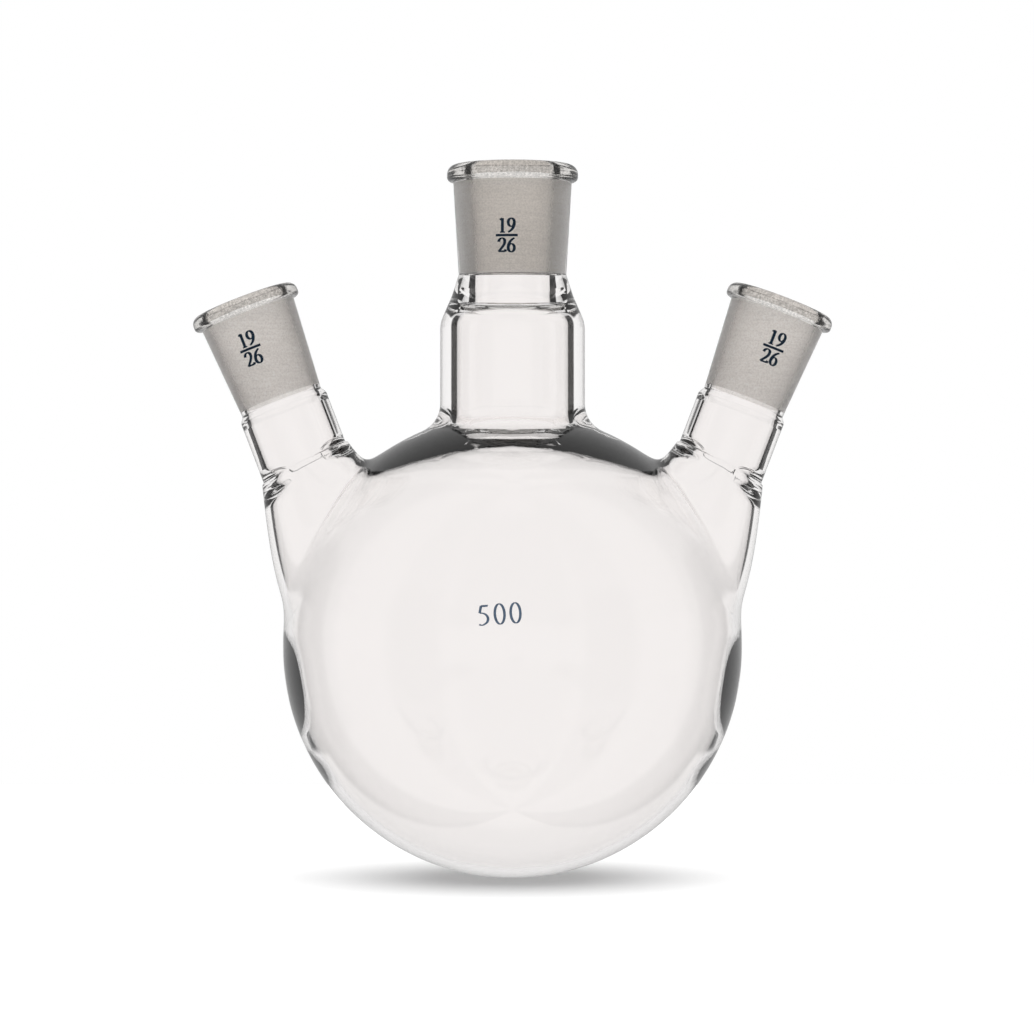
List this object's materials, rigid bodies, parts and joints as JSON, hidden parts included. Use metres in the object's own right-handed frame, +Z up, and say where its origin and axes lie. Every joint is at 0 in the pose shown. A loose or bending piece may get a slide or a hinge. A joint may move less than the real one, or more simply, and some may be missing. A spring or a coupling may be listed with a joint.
{
  "type": "three neck flask",
  "caption": "Blown glass round-bottom flask with an upright centre neck and slanted side necks, each ending in a ground conical socket.",
  "frame": {"origin": "lowest point of the bulb, on the axis of the centre neck", "axes": "+Z up along the centre neck, +X towards the right side neck, with all necks in the XZ plane"},
  "size_m": [0.1468, 0.105, 0.1635],
  "materials": {
    "glass": "clear borosilicate, fire polished, with finely ground sockets"
  },
  "bodies": {
    "root": {"flask": "glass"}
  },
  "joints": []
}
